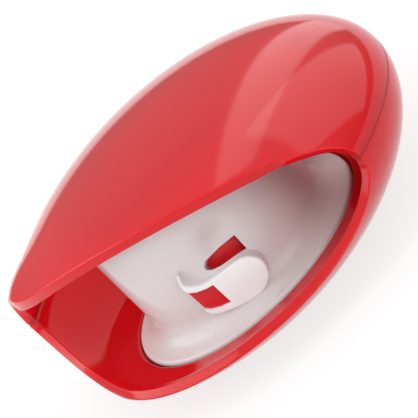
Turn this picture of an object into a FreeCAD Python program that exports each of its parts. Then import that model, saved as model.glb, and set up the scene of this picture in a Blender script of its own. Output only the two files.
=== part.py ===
import FreeCAD, Part
import Sketcher
import os
import re

# Hand cord winder: a round two-part shell with a wide mouth, and a spool with a cord bridge
# that turns inside it. Lengths in mm, angles in degrees. The origin is on the resting plane,
# on the shell's axis; +Z is up and the mouth faces -Y.

doc = FreeCAD.newDocument("cord_winder")
sheet = doc.addObject("Spreadsheet::Sheet", "Sizes")

SIZES = [
    ("shell_radius", 40.0, "outer radius of the shell at its seam"),
    ("dome_height", 17.4, "height of the dome above the seam"),
    ("bowl_depth", 19.1, "depth of the full bowl below the seam"),
    ("base_drop", 16.8, "seam to the flat of the base"),
    ("seam_wall", 1.7, "shell wall at the seam"),
    ("crown_wall", 1.9, "shell wall at the crown and the floor"),
    ("base_floor", 2.0, "thickness of the base plate"),
    ("lip_centre", 6.3, "centre of the upper lip's plan curve in front of the shell's axis"),
    ("lip_reach", 16.6, "upper lip in front of its plan centre"),
    ("lip_half_width", 35.2, "half the width of the upper lip's plan curve"),
    ("lip_turn", 5.1, "turn of the upper lip's plan curve about the shell's axis"),
    ("lip_end", 13.3, "ends of the upper lip in front of the axis"),
    ("mouth_back", 7.9, "ends of the mouth at the seam in front of the axis"),
    ("rim_drop", 10.7, "front rim below the seam"),
    ("rim_sweep", 18.1, "length of the rim's curved rise"),
    ("end_rise", 12.2, "half height of the side curve of the mouth's ends"),
    ("post_inset", 9.0, "screw posts inside the seam radius"),
    ("post_angle", 125.0, "side posts, angle from the mouth's middle"),
    ("post_radius", 3.2, "radius of a screw post"),
    ("screw_seat", 7.9, "seat of the screw heads below the seam"),
    ("screw_grip", 13.0, "shank of a shell screw above its seat"),
    ("screw_radius", 1.2, "shank radius of a shell screw"),
    ("screw_head_radius", 2.1, "head radius of a shell screw"),
    ("screw_head_height", 1.6, "head height of a shell screw"),
    ("foot_stand", 0.6, "foot ring below the base"),
    ("foot_sink", 0.7, "depth of the foot ring's groove"),
    ("foot_inner", 14.4, "inner radius of the foot ring"),
    ("foot_width", 2.8, "width of the foot ring"),
    ("axis_offset", 2.2, "spool axis in front of the shell's axis"),
    ("flange_radius", 23.2, "radius of the spool's flange"),
    ("flange_drop", 10.3, "top of the flange below the seam"),
    ("flange_edge", 1.4, "thickness of the flange"),
    ("flange_gap", 0.45, "running gap round and under the flange"),
    ("deck_drop", 0.4, "deck round the flange below its top"),
    ("deck_thick", 1.5, "deck under the flange"),
    ("deck_inner", 21.0, "inner radius of the deck under the flange"),
    ("core_radius", 18.4, "outer radius of the spool's core"),
    ("core_wall", 2.2, "wall of the core"),
    ("core_fillet", 3.9, "fillet between the core and the flange"),
    ("core_gap", 0.8, "core below the dome"),
    ("hub_wall", 1.4, "wall of the hub drum"),
    ("hub_floor", 1.6, "floor of the hub drum"),
    ("hub_fit", 0.05, "drum and cap inside the core"),
    ("boss_radius", 4.6, "bosses on the spool's axis"),
    ("cap_thick", 1.8, "thickness of the core cap"),
    ("axle_radius", 2.0, "radius of the axle pin"),
    ("axle_fit", 0.05, "running fit of the axle pin"),
    ("axle_sink", 3.0, "axle pin inside the dome's boss"),
    ("axle_length", 20.0, "length of the axle pin"),
    ("washer_thick", 0.5, "thickness of the thrust washer"),
    ("washer_radius", 4.3, "outer radius of the thrust washer"),
    ("end_play", 0.1, "play above the washer and on the bush"),
    ("dial_radius", 10.4, "radius of the turning dial"),
    ("dial_thick", 2.5, "thickness of the turning dial"),
    ("dial_recess", 0.3, "dial above the flat of the base"),
    ("dial_gap", 0.45, "running gap round the dial"),
    ("well_wall", 1.7, "wall of the dial's well"),
    ("web_thick", 1.3, "web that the bush sits in"),
    ("drag_space", 0.4, "space for the drag washer"),
    ("drag_thick", 0.25, "thickness of the drag washer"),
    ("neck_radius", 6.8, "radius of the hub's neck"),
    ("bush_fit", 0.06, "running fit of the neck in its bush"),
    ("bush_wall", 1.1, "wall of the bush"),
    ("bush_flange", 0.5, "flange of the bush"),
    ("bush_flange_radius", 9.8, "radius of the bush's flange"),
    ("peg_radius", 0.9, "drive pegs of the dial"),
    ("peg_spread", 4.6, "drive pegs from the spool's axis"),
    ("peg_height", 1.4, "height of the drive pegs"),
    ("finger_radius", 4.4, "ball radius of the finger hollow"),
    ("finger_depth", 1.2, "depth of the finger hollow"),
    ("finger_offset", 6.4, "finger hollow from the spool's axis"),
    ("dial_screw_radius", 1.4, "shank radius of the dial screw"),
    ("dial_screw_length", 8.0, "shank of the dial screw"),
    ("dial_head_radius", 2.4, "head radius of the dial screw"),
    ("dial_head_height", 0.9, "head height of the dial screw"),
    ("dial_cap_thick", 0.6, "thickness of the dial's cap"),
    ("bore_fit", 0.05, "clearance of screws, pegs and caps"),
    ("bridge_angle", 26.0, "cord bridge, angle from the mouth's middle"),
    ("bridge_rise", 2.0, "face of the bridge beyond the core"),
    ("bridge_length", 13.2, "length of the bridge along the core"),
    ("bridge_height", 9.2, "height of the bridge"),
    ("bridge_drop", 3.8, "middle of the bridge below the seam"),
    ("pad_sink", 0.9, "face of the grip pad below the bridge's face"),
    ("window_length", 7.3, "length of the upper window"),
    ("window_height", 3.0, "height of the upper window"),
    ("hollow_angle", 36.0, "thumb hollow of the core, angle from the mouth's middle"),
    ("hollow_rise", 3.2, "middle of the hollow above the seam"),
    ("hollow_radius", 9.0, "ball radius of the hollow"),
    ("hollow_depth", 1.2, "depth of the hollow"),
]

for row, (alias, value, meaning) in enumerate(SIZES, start=1):
    sheet.set("A%d" % row, meaning)
    sheet.set("B%d" % row, str(value))
    sheet.setAlias("B%d" % row, alias)
doc.recompute()

ALIASES = {alias for alias, value, meaning in SIZES}

# Levels and radii that follow from the sizes.
SEAM = "(base_drop + foot_stand)"
FLANGE_TOP = "(%s - flange_drop)" % SEAM
FLANGE_BOTTOM = "(%s - flange_edge)" % FLANGE_TOP
INNER_RADIUS = "(shell_radius - seam_wall)"
CORE_SHARE = "((core_radius + axis_offset) / %s)" % INNER_RADIUS
CORE_TOP = "(%s + (dome_height - crown_wall) * sqrt(1 - %s ^ 2) - core_gap)" % (SEAM, CORE_SHARE)
CORE_BORE = "(core_radius - core_wall)"
DRUM_RADIUS = "(%s - hub_fit)" % CORE_BORE
DRUM_TOP = "(%s - cap_thick)" % CORE_TOP
DIAL_BOTTOM = "(foot_stand + dial_recess)"
DIAL_TOP = "(%s + dial_thick)" % DIAL_BOTTOM
HEAD_SEAT = "(%s - 0.4 * dial_thick)" % DIAL_TOP
WEB_BOTTOM = "(%s + drag_space)" % DIAL_TOP
WEB_TOP = "(%s + web_thick)" % WEB_BOTTOM
DRUM_BOTTOM = "(%s + bush_flange + end_play)" % WEB_TOP
WELL_RADIUS = "(dial_radius + dial_gap)"
BUSH_BORE = "(neck_radius + bush_fit)"
BUSH_RADIUS = "(%s + bush_wall)" % BUSH_BORE
BOSS_BOTTOM = "(%s + washer_thick + end_play)" % CORE_TOP
AXLE_TOP = "(%s + axle_sink)" % BOSS_BOTTOM
AXLE_BOTTOM = "(%s - axle_length)" % AXLE_TOP
POST_CIRCLE = "(shell_radius - post_inset)"
SCREW_SEAT = "(%s - screw_seat)" % SEAM
SEAT_FLOOR = "(%s - flange_gap)" % FLANGE_BOTTOM
AXIS = ("0", "-axis_offset")


def bind(item, prop, text):
    """Binds a property to a formula of sizes."""
    formula = re.sub(r"[a-z_]+", lambda m: "Sizes." + m.group() if m.group() in ALIASES else m.group(), text)
    item.setExpression(prop, formula)


def value(text):
    """Works out a formula of sizes now."""
    return float(sheet.evalExpression(re.sub(r"[a-z_]+", lambda m: "Sizes." + m.group(), text)))


def place(item, x, y, z):
    """Binds the three coordinates of an item's place."""
    for letter, text in zip("xyz", (x, y, z)):
        bind(item, "Placement.Base." + letter, text)
    return item


def cylinder(name, radius, bottom, top, centre=AXIS):
    """An upright cylinder between two levels."""
    item = doc.addObject("Part::Cylinder", name)
    bind(item, "Radius", radius)
    bind(item, "Height", "(%s) - (%s)" % (top, bottom))
    return place(item, centre[0], centre[1], bottom)


def half_ellipsoid(name, radius, height, low, high):
    """Half of a body of revolution with an elliptic profile, on the seam."""
    item = doc.addObject("Part::Ellipsoid", name)
    bind(item, "Radius1", height)
    bind(item, "Radius2", radius)
    bind(item, "Radius3", radius)
    item.Angle1 = low
    item.Angle2 = high
    return place(item, "0", "0", SEAM)


def box(name, length, width, height, x, y, z):
    """A box from one corner."""
    item = doc.addObject("Part::Box", name)
    bind(item, "Length", length)
    bind(item, "Width", width)
    bind(item, "Height", height)
    return place(item, x, y, z)


def cut(name, base, tool):
    """One body without another."""
    item = doc.addObject("Part::Cut", name)
    item.Base = base
    item.Tool = tool
    return item


def fuse(name, *items):
    """Several bodies as one."""
    item = doc.addObject("Part::MultiFuse", name)
    item.Shapes = list(items)
    item.Refine = True
    return item


def common(name, *items):
    """What several bodies share."""
    item = doc.addObject("Part::MultiCommon", name)
    item.Shapes = list(items)
    return item


def elliptic_rod(name, major, minor, length, turn):
    """A long rod of elliptic section, turned so that its length runs along one axis."""
    outline = doc.addObject("Part::Ellipse", name + "_outline")
    bind(outline, "MajorRadius", major)
    bind(outline, "MinorRadius", minor)
    outline.Placement.Rotation = turn
    rod = doc.addObject("Part::Extrusion", name)
    rod.Base = outline
    rod.DirMode = "Custom"
    rod.Dir = turn.multVec(FreeCAD.Vector(0, 0, 1))
    bind(rod, "LengthFwd", length)
    rod.Solid = True
    rod.Symmetric = True
    return outline, rod


def ring(name, inner, outer, bottom, top, centre=AXIS):
    """A flat ring between two levels."""
    blank = cylinder(name + "_blank", outer, bottom, top, centre)
    bore = cylinder(name + "_bore", inner, "(%s) - 1" % bottom, "(%s) + 1" % top, centre)
    return cut(name, blank, bore)


def post_places():
    """Centres of the three screw posts, as formulas."""
    for turn in ("-post_angle", "180", "post_angle"):
        yield ("%s * sin((%s) * 1 deg)" % (POST_CIRCLE, turn), "-%s * cos((%s) * 1 deg)" % (POST_CIRCLE, turn))


# Screws that hold the shell halves together, and the posts that take them.
screws = []
low_posts = []
high_posts = []
low_holes = []
high_holes = []
for number, centre in enumerate(post_places(), start=1):
    tail = "_%d" % number
    head = cylinder("screw_head" + tail, "screw_head_radius",
                    "(%s - screw_head_height)" % SCREW_SEAT, SCREW_SEAT, centre)
    shank = cylinder("screw_shank" + tail, "screw_radius",
                     SCREW_SEAT, "(%s + screw_grip)" % SCREW_SEAT, centre)
    screws.append(fuse("screw" + tail, head, shank))
    low_posts.append(cylinder("low_post" + tail, "post_radius", "0", SEAM, centre))
    high_posts.append(cylinder("high_post" + tail, "post_radius", SEAM, "(%s + dome_height)" % SEAM, centre))
    well = cylinder("screw_well" + tail, "screw_head_radius + 4 * bore_fit", "-1", SCREW_SEAT, centre)
    hole = cylinder("screw_hole" + tail, "screw_radius + bore_fit",
                    "(%s - 1)" % SCREW_SEAT, "(%s + screw_grip + 0.6)" % SCREW_SEAT, centre)
    low_holes += [well, hole]
    high_holes.append(hole)
shell_screws = doc.addObject("Part::Compound", "shell_screws")
shell_screws.Links = screws

# Mouth: the upper lip stands on an elliptic plan curve, the ends and the lower rim on an elliptic side curve.
SPAN = "(2 * shell_radius + 20)"
rim_block = box("rim_block", SPAN, "shell_radius", "rim_drop + 5",
                "-shell_radius - 10", "-shell_radius - mouth_back", "%s - rim_drop" % SEAM)
corner_block = box("corner_block", SPAN, "rim_sweep + 5", "rim_drop + 1",
                   "-shell_radius - 10", "-mouth_back - rim_sweep", "%s - rim_drop - 1" % SEAM)
rim_outline, rim_rod = elliptic_rod("rim_rod", "rim_sweep", "rim_drop", SPAN,
                                    FreeCAD.Rotation(FreeCAD.Vector(1, 1, 1), 120))
place(rim_outline, "0", "-mouth_back - rim_sweep", SEAM)
corner_fill = cut("corner_fill", corner_block, rim_rod)
rim_cutter = cut("rim_cutter", rim_block, corner_fill)
lip_block = box("lip_block", SPAN, "shell_radius", "dome_height + 10",
                "-shell_radius - 10", "-shell_radius - lip_end", "%s - 5" % SEAM)
lip_outline, lip_rod = elliptic_rod("lip_rod", "lip_half_width", "lip_reach",
                                    "6 * dome_height + 60", FreeCAD.Rotation())
bind(lip_outline, "Placement.Rotation.Angle", "lip_turn")
place(lip_outline, "lip_centre * sin(lip_turn * 1 deg)", "-lip_centre * cos(lip_turn * 1 deg)", "0")
end_outline, end_rod = elliptic_rod("end_rod", "rim_sweep", "end_rise", SPAN,
                                    FreeCAD.Rotation(FreeCAD.Vector(1, 1, 1), 120))
place(end_outline, "0", "-mouth_back - rim_sweep", SEAM)
lip_front = fuse("lip_front", lip_block, end_rod)
lip_cutter = cut("lip_cutter", lip_front, lip_rod)

# Upper shell: dome, screw posts and the boss that holds the axle.
dome_outer = half_ellipsoid("dome_outer", "shell_radius", "dome_height", 0, 90)
dome_inner = half_ellipsoid("dome_inner", INNER_RADIUS, "dome_height - crown_wall", 0, 90)
dome = cut("dome", dome_outer, dome_inner)
dome_posts = fuse("dome_posts", *high_posts)
dome_boss = cylinder("dome_boss", "boss_radius", BOSS_BOTTOM, "(%s + dome_height)" % SEAM)
dome_fittings = fuse("dome_fittings", dome_posts, dome_boss)
dome_inside = common("dome_inside", dome_fittings, dome_outer)
dome_full = fuse("dome_full", dome, dome_inside)
axle_hole = cylinder("axle_hole", "axle_radius", "%s - 5" % BOSS_BOTTOM, AXLE_TOP)
dome_cutters = fuse("dome_cutters", lip_cutter, axle_hole, *high_holes)
upper_shell = cut("upper_shell", dome_full, dome_cutters)

# Lower shell: bowl with a flat base, a deck with the seat of the flange, screw posts and the dial's well.
bowl_outer = half_ellipsoid("bowl_outer", "shell_radius", "bowl_depth", -90, 0)
bowl_inner = half_ellipsoid("bowl_inner", INNER_RADIUS, "bowl_depth - crown_wall", -90, 0)
bowl_range = cylinder("bowl_range", "shell_radius + 5", "foot_stand", SEAM, ("0", "0"))
bowl_wall = cut("bowl_wall", bowl_outer, bowl_inner)
deck = cylinder("deck", "shell_radius", "(%s - deck_thick)" % SEAT_FLOOR, "(%s - deck_drop)" % FLANGE_TOP, ("0", "0"))
deck_hole = cylinder("deck_hole", "deck_inner", "0", SEAM)
deck_ring = cut("deck_ring", deck, deck_hole)
deck_inside = common("deck_inside", deck_ring, bowl_outer)
bowl_decked = fuse("bowl_decked", bowl_wall, deck_inside)
seat_space = cylinder("seat_space", "flange_radius + flange_gap", SEAT_FLOOR, SEAM)
bowl_seat = cut("bowl_seat", bowl_decked, seat_space)
well_tower = cylinder("well_tower", "(%s + well_wall)" % WELL_RADIUS, "foot_stand", WEB_TOP)
base_plate = cylinder("base_plate", "shell_radius", "foot_stand", "(foot_stand + base_floor)", ("0", "0"))
bowl_fittings = fuse("bowl_fittings", well_tower, base_plate, *low_posts)
bowl_inside = common("bowl_inside", bowl_fittings, bowl_outer)
bowl_joined = fuse("bowl_joined", bowl_seat, bowl_inside)
bowl_full = common("bowl_full", bowl_joined, bowl_range)
dial_space = cylinder("dial_space", WELL_RADIUS, "-5", WEB_BOTTOM)
bush_hole = cylinder("bush_hole", BUSH_RADIUS, "0", "%s + 5" % WEB_TOP)
foot_groove = ring("foot_groove", "foot_inner", "foot_inner + foot_width", "0", "foot_stand + foot_sink", ("0", "0"))
bowl_cutters = fuse("bowl_cutters", rim_cutter, dial_space, bush_hole, foot_groove, *low_holes)
lower_shell = cut("lower_shell", bowl_full, bowl_cutters)

foot_ring = ring("foot_ring", "foot_inner", "foot_inner + foot_width", "0", "foot_stand + foot_sink", ("0", "0"))


def outline_pad(name, corners, bends, start, length):
    """A pad of an outline on the bridge's plane, which faces out from the spool's axis.

    The corners are pairs of formulas, joined clockwise. A side listed in bends is an arc that
    bulges out: its rise as a share of its chord, and the formula of its radius.
    """
    body = doc.addObject("PartDesign::Body", name)
    sketch = body.newObject("Sketcher::SketchObject", name + "_sketch")
    plane = [item for item in body.Origin.OriginFeatures if item.Role == "XZ_Plane"][0]
    sketch.AttachmentSupport = [(plane, "")]
    sketch.MapMode = "FlatFace"
    bind(sketch, "AttachmentOffset.Base.z", start)
    points = [FreeCAD.Vector(value(u), value(w), 0) for u, w in corners]
    for number, begin in enumerate(points):
        end = points[(number + 1) % len(points)]
        side = Part.LineSegment(begin, end)
        if number in bends:
            chord = end - begin
            middle = (begin + end) * 0.5 + FreeCAD.Vector(-chord.y, chord.x, 0) * bends[number][0]
            side = Part.Arc(end, middle, begin)
        sketch.addGeometry(side, False)
    begins = [2 if number in bends else 1 for number in range(len(corners))]
    ends = [3 - begin for begin in begins]
    for number, corner in enumerate(corners):
        following = (number + 1) % len(corners)
        sketch.addConstraint(Sketcher.Constraint("Coincident", number, ends[number], following, begins[following]))
        for kind, text, now in zip(("DistanceX", "DistanceY"), corner, (points[number].x, points[number].y)):
            place_rule = Sketcher.Constraint(kind, -1, 1, number, begins[number], now)
            bind(sketch, "Constraints[%d]" % sketch.addConstraint(place_rule), text)
    for number, (share, radius) in bends.items():
        radius_rule = Sketcher.Constraint("Radius", number, sketch.Geometry[number].Radius)
        bind(sketch, "Constraints[%d]" % sketch.addConstraint(radius_rule), radius)
    pad = body.newObject("PartDesign::Pad", name + "_pad")
    pad.Profile = sketch
    bind(pad, "Length", length)
    body.Placement.Rotation = FreeCAD.Rotation(FreeCAD.Vector(0, 0, 1), 0)
    bind(body, "Placement.Rotation.Angle", "bridge_angle")
    return place(body, AXIS[0], AXIS[1], "%s - bridge_drop" % SEAM)


def on_bridge(u, w):
    """A point as formulas, from shares of the bridge's length and height."""
    return ("%.3f * bridge_length" % u, "%.3f * bridge_height" % w)


# Cord bridge: a flat pad with a bay on its left side, between the two cord windows.
bridge_outline = [on_bridge(-0.485, 0.50), on_bridge(-0.15, 0.315), on_bridge(0.22, 0.29), on_bridge(0.43, 0.24),
                  on_bridge(0.34, -0.46), on_bridge(0.20, -0.50), on_bridge(-0.40, -0.34), on_bridge(-0.46, -0.18),
                  on_bridge(-0.13, -0.33), on_bridge(-0.13, 0.18), on_bridge(-0.33, 0.23), on_bridge(-0.47, 0.36)]
bridge_pad = outline_pad("bridge_pad", bridge_outline, {3: (0.304, "0.40 * bridge_height")},
                         "core_radius / 2", "core_radius / 2 + bridge_rise")
low_outline = [on_bridge(-0.12, 0.17), on_bridge(-0.12, -0.32), on_bridge(-0.45, -0.17),
               on_bridge(-0.465, 0.34), on_bridge(-0.325, 0.215)]
low_window = outline_pad("low_window", low_outline, {}, "core_radius / 2", "core_radius")
WINDOW_FOOT = "0.30 * bridge_height"
WINDOW_MIDDLE = "0.23 * bridge_length"
high_outline = [("%s - window_length / 2" % WINDOW_MIDDLE, "%s + 0.42 * window_height" % WINDOW_FOOT),
                ("%s + window_length / 2" % WINDOW_MIDDLE, WINDOW_FOOT),
                ("%s + window_length / 2" % WINDOW_MIDDLE, "%s + window_height" % WINDOW_FOOT),
                ("%s - 0.35 * window_length" % WINDOW_MIDDLE, "%s + window_height" % WINDOW_FOOT)]
high_window = outline_pad("high_window", high_outline, {}, "core_radius / 2", "core_radius")

# Spool: flange and core with a wide fillet between them, and two cord windows.
core_blank = cylinder("core_blank", "core_radius", FLANGE_BOTTOM, CORE_TOP)
flange_blank = cylinder("flange_blank", "flange_radius", FLANGE_BOTTOM, FLANGE_TOP)
fillet_blank = cylinder("fillet_blank", "core_radius + core_fillet", FLANGE_TOP, "(%s + core_fillet)" % FLANGE_TOP)
fillet_round = doc.addObject("Part::Torus", "fillet_round")
bind(fillet_round, "Radius1", "core_radius + core_fillet")
bind(fillet_round, "Radius2", "core_fillet")
place(fillet_round, AXIS[0], AXIS[1], "%s + core_fillet" % FLANGE_TOP)
fillet_ring = cut("fillet_ring", fillet_blank, fillet_round)
spool_blank = fuse("spool_blank", core_blank, flange_blank, fillet_ring)
core_bore = cylinder("core_bore", CORE_BORE, "0", "%s + 5" % CORE_TOP)
hollow_ball = doc.addObject("Part::Sphere", "hollow_ball")
bind(hollow_ball, "Radius", "hollow_radius")
HOLLOW_REACH = "(core_radius + hollow_radius - hollow_depth)"
place(hollow_ball, "%s * sin(hollow_angle * 1 deg)" % HOLLOW_REACH,
      "-axis_offset - %s * cos(hollow_angle * 1 deg)" % HOLLOW_REACH, "%s + hollow_rise" % SEAM)
spool_cutters = fuse("spool_cutters", core_bore, low_window, high_window, hollow_ball)
spool_core = cut("spool_core", spool_blank, spool_cutters)
cord_bridge = cut("cord_bridge", bridge_pad, spool_blank)

# Grip pad: a block in the bay of the bridge, through the lower window.
grip_outline = [on_bridge(-0.14, 0.165), on_bridge(-0.14, -0.30), on_bridge(-0.44, -0.165),
                on_bridge(-0.455, 0.32), on_bridge(-0.325, 0.20)]
grip_block = outline_pad("grip_block", grip_outline, {}, "core_radius / 2", "core_radius / 2 + bridge_rise - pad_sink")
grip_pad = cut("grip_pad", grip_block, core_bore)

# Hub drum: a cup inside the core with a neck through the web and a boss on the axis.
drum_blank = cylinder("drum_blank", DRUM_RADIUS, DRUM_BOTTOM, DRUM_TOP)
drum_space = ring("drum_space", "boss_radius", "%s - hub_wall" % DRUM_RADIUS,
                  "(%s + hub_floor)" % DRUM_BOTTOM, "(%s + 5)" % DRUM_TOP)
drum_cup = cut("drum_cup", drum_blank, drum_space)
neck = cylinder("neck", "neck_radius", DIAL_TOP, "(%s + hub_floor)" % DRUM_BOTTOM)
drum_body = fuse("drum_body", drum_cup, neck)
axle_bore = cylinder("axle_bore", "axle_radius + axle_fit", "(%s - 0.5)" % AXLE_BOTTOM, "(%s + 5)" % DRUM_TOP)
screw_bore = cylinder("screw_bore", "dial_screw_radius + bore_fit", "0", "(%s + dial_screw_length + 0.4)" % HEAD_SEAT)
peg_holes = [cylinder("peg_hole_%s" % side, "peg_radius + bore_fit", "0", "(%s + peg_height + 0.2)" % DIAL_TOP,
                      ("%speg_spread" % sign, AXIS[1])) for side, sign in (("left", "-"), ("right", ""))]
drum_cutters = fuse("drum_cutters", axle_bore, screw_bore, *peg_holes)
hub_drum = cut("hub_drum", drum_body, drum_cutters)

core_cap = ring("core_cap", "axle_radius + axle_fit", DRUM_RADIUS, DRUM_TOP, CORE_TOP)
thrust_washer = ring("thrust_washer", "axle_radius + axle_fit", "washer_radius", CORE_TOP,
                     "(%s + washer_thick)" % CORE_TOP)
axle_pin = cylinder("axle_pin", "axle_radius", AXLE_BOTTOM, AXLE_TOP)

# Bush in the web, and the drag washer under the web.
bush_sleeve = cylinder("bush_sleeve", BUSH_RADIUS, WEB_BOTTOM, WEB_TOP)
bush_rim = cylinder("bush_rim", "bush_flange_radius", WEB_TOP, "(%s + bush_flange)" % WEB_TOP)
bush_blank = fuse("bush_blank", bush_sleeve, bush_rim)
bush_bore = cylinder("bush_bore", BUSH_BORE, "0", "%s + 5" % WEB_TOP)
spool_bush = cut("spool_bush", bush_blank, bush_bore)
drag_washer = ring("drag_washer", "neck_radius + 2 * bush_fit + 0.3", "dial_radius - 0.4",
                   "(%s - drag_thick)" % WEB_BOTTOM, WEB_BOTTOM)

# Turning dial with two drive pegs, a finger hollow, and the screw and cap that hold and cover it.
dial_disc = cylinder("dial_disc", "dial_radius", DIAL_BOTTOM, DIAL_TOP)
pegs = [cylinder("peg_%s" % side, "peg_radius", DIAL_TOP, "(%s + peg_height)" % DIAL_TOP,
                 ("%speg_spread" % sign, AXIS[1])) for side, sign in (("left", "-"), ("right", ""))]
dial_blank = fuse("dial_blank", dial_disc, *pegs)
finger_ball = doc.addObject("Part::Sphere", "finger_ball")
bind(finger_ball, "Radius", "finger_radius")
place(finger_ball, "0", "%s - finger_offset" % AXIS[1], "%s + finger_depth - finger_radius" % DIAL_BOTTOM)
head_well = cylinder("head_well", "dial_head_radius + bore_fit", "0", HEAD_SEAT)
head_hole = cylinder("head_hole", "dial_screw_radius + bore_fit", "0", "(%s + 5)" % DIAL_TOP)
dial_cutters = fuse("dial_cutters", finger_ball, head_well, head_hole)
turning_dial = cut("turning_dial", dial_blank, dial_cutters)

dial_head = cylinder("dial_head", "dial_head_radius", "(%s - dial_head_height)" % HEAD_SEAT, HEAD_SEAT)
dial_shank = cylinder("dial_shank", "dial_screw_radius", HEAD_SEAT, "(%s + dial_screw_length)" % HEAD_SEAT)
dial_screw = fuse("dial_screw", dial_head, dial_shank)
dial_cap = cylinder("dial_cap", "dial_head_radius", DIAL_BOTTOM, "(%s + dial_cap_thick)" % DIAL_BOTTOM)

NODES = [upper_shell, lower_shell, shell_screws, foot_ring, spool_core, cord_bridge, grip_pad, hub_drum,
         core_cap, thrust_washer, axle_pin, spool_bush, drag_washer, turning_dial, dial_screw, dial_cap]

doc.recompute()
for item in doc.Objects:
    if "Invalid" in item.State or "Error" in item.State:
        raise RuntimeError("%s: %s" % (item.Name, item.State))
for node in NODES:
    if node.Shape.isNull() or not node.Shape.isValid():
        raise RuntimeError("%s has no valid shape" % node.Label)

os.makedirs("parts", exist_ok=True)
for node in NODES:
    node.Shape.exportStep("parts/%s.step" % node.Label)
    print("%-16s solids %d  volume %.1f" % (node.Label, len(node.Shape.Solids), node.Shape.Volume))
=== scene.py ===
"""Looks of a hand cord winder: glossy two-part shell, white spool with a cord bridge, small fittings."""

import logging
import math
from dataclasses import dataclass, field
from enum import Enum

import bpy
import numpy as np
from mathutils import Matrix, Vector


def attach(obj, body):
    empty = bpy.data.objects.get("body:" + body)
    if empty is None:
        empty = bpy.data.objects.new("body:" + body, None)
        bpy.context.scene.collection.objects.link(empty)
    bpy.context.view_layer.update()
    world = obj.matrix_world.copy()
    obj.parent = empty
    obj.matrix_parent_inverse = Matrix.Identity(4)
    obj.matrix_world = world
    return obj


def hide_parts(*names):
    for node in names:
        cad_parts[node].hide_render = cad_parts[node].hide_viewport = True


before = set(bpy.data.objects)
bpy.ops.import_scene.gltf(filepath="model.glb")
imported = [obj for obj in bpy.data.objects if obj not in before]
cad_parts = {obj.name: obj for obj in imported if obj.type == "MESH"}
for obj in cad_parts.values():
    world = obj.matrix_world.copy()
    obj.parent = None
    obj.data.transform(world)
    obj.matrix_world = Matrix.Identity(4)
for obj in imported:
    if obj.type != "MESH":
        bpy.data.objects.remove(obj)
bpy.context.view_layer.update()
LOG = logging.getLogger("cord_winder")
MM = 0.001
SHARP_ANGLE = math.radians(50.0)
LEAST_LENGTH = 1e-9
SAME_RADIUS = 1e-6
OUTER_EDGE_ROWS = 6
INNER_EDGE_ROWS = 5
FACE_ROWS = 5


class Body(Enum):
    """The two rigid bodies of the frame."""

    SHELL = "shell"
    SPOOL = "spool"


@dataclass(frozen=True)
class ShellSizes:
    """Sizes of the shell in metres.

    They are those of the solid parts, apart from the left rim's lead, the thickness of the rim's face and
    the rounding of the edges, which follow the photo.
    """

    radius: float = 40.0 * MM
    dome: float = 17.4 * MM
    bowl: float = 19.1 * MM
    seam_wall: float = 1.7 * MM
    crown_wall: float = 1.9 * MM
    seam_z: float = 17.4 * MM
    base_z: float = 0.6 * MM
    lip_centre: float = 6.3 * MM
    lip_reach: float = 16.6 * MM
    lip_half_width: float = 35.2 * MM
    lip_turn: float = math.radians(5.1)
    lip_end: float = 13.3 * MM
    mouth_back: float = 7.9 * MM
    rim_drop: float = 10.7 * MM
    rim_sweep: float = 18.1 * MM
    left_lead: float = 1.1 * MM
    end_rise: float = 12.2 * MM
    rim_wall: float = 1.6 * MM
    seat_radius: float = 23.65 * MM
    seat_floor: float = 5.25 * MM
    deck_z: float = 6.7 * MM
    deck_inner: float = 21.0 * MM
    groove_inner: float = 14.4 * MM
    groove_outer: float = 17.2 * MM
    groove_top: float = 1.3 * MM
    well_radius: float = 10.85 * MM
    web_bottom: float = 3.8 * MM
    web_top: float = 5.1 * MM
    web_hole: float = 7.96 * MM
    tower_radius: float = 12.55 * MM
    plate_top: float = 2.6 * MM
    edge: float = 0.35 * MM
    post_radius: float = 3.2 * MM
    post_circle: float = 31.0 * MM
    post_angle: float = math.radians(125.0)
    screw_well: float = 2.3 * MM
    screw_seat: float = 9.5 * MM

    @property
    def posts(self) -> list[tuple[float, float]]:
        """Places of the three screw posts."""
        turns = (-self.post_angle, math.pi, self.post_angle)
        return [(self.post_circle * math.sin(a), -self.post_circle * math.cos(a)) for a in turns]

    @property
    def inner_edge(self) -> float:
        """Rounding of the inner edges."""
        return 0.5 * self.edge

    @property
    def inner_radius(self) -> float:
        """Inner radius at the seam."""
        return self.radius - self.seam_wall

    @property
    def inner_dome(self) -> float:
        """Inner height of the dome."""
        return self.dome - self.crown_wall

    @property
    def inner_bowl(self) -> float:
        """Inner depth of the full bowl."""
        return self.bowl - self.crown_wall


@dataclass(frozen=True)
class SpoolSizes:
    """Sizes of the spool in metres, about its own axis.

    They are those of the solid parts, apart from the bridge's face, the thumb hollow and the windows, which
    follow the photo. The upper window falls inward, with its outline true at window_true from the axis.
    """

    axis_y: float = -2.2 * MM
    flange_radius: float = 23.2 * MM
    flange_top: float = 7.1 * MM
    flange_bottom: float = 5.7 * MM
    core_radius: float = 18.4 * MM
    core_bore: float = 16.2 * MM
    core_fillet: float = 3.9 * MM
    core_top: float = 29.66 * MM
    bridge_angle: float = math.radians(26.0)
    bridge_face: float = 19.4 * MM
    hollow_angle: float = math.radians(38.5)
    hollow_z: float = 20.4 * MM
    hollow_depth: float = 1.6 * MM
    hollow_reach: float = 2.9 * MM
    window_near: float = 12.0 * MM
    window_far: float = 24.0 * MM
    window_true: float = 18.0 * MM
    window_fall: float = 0.45


SHELL = ShellSizes()
SPOOL = SpoolSizes()
# Outlines of the two cord windows, along the core and above the seam.
UPPER_WINDOW = MM * np.array([(6.3, 1.7), (6.3, -1.6), (4.7, -1.35), (1.35, -1.15), (-0.2, -0.75),
                              (-0.95, -0.15), (-0.95, 0.5), (-0.15, 1.3), (2.9, 1.7)])
LOWER_WINDOW = MM * np.array([(-1.2, -1.6), (-1.2, -7.0), (-5.6, -5.6), (-6.0, -0.2), (-3.6, -1.2)])


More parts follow.
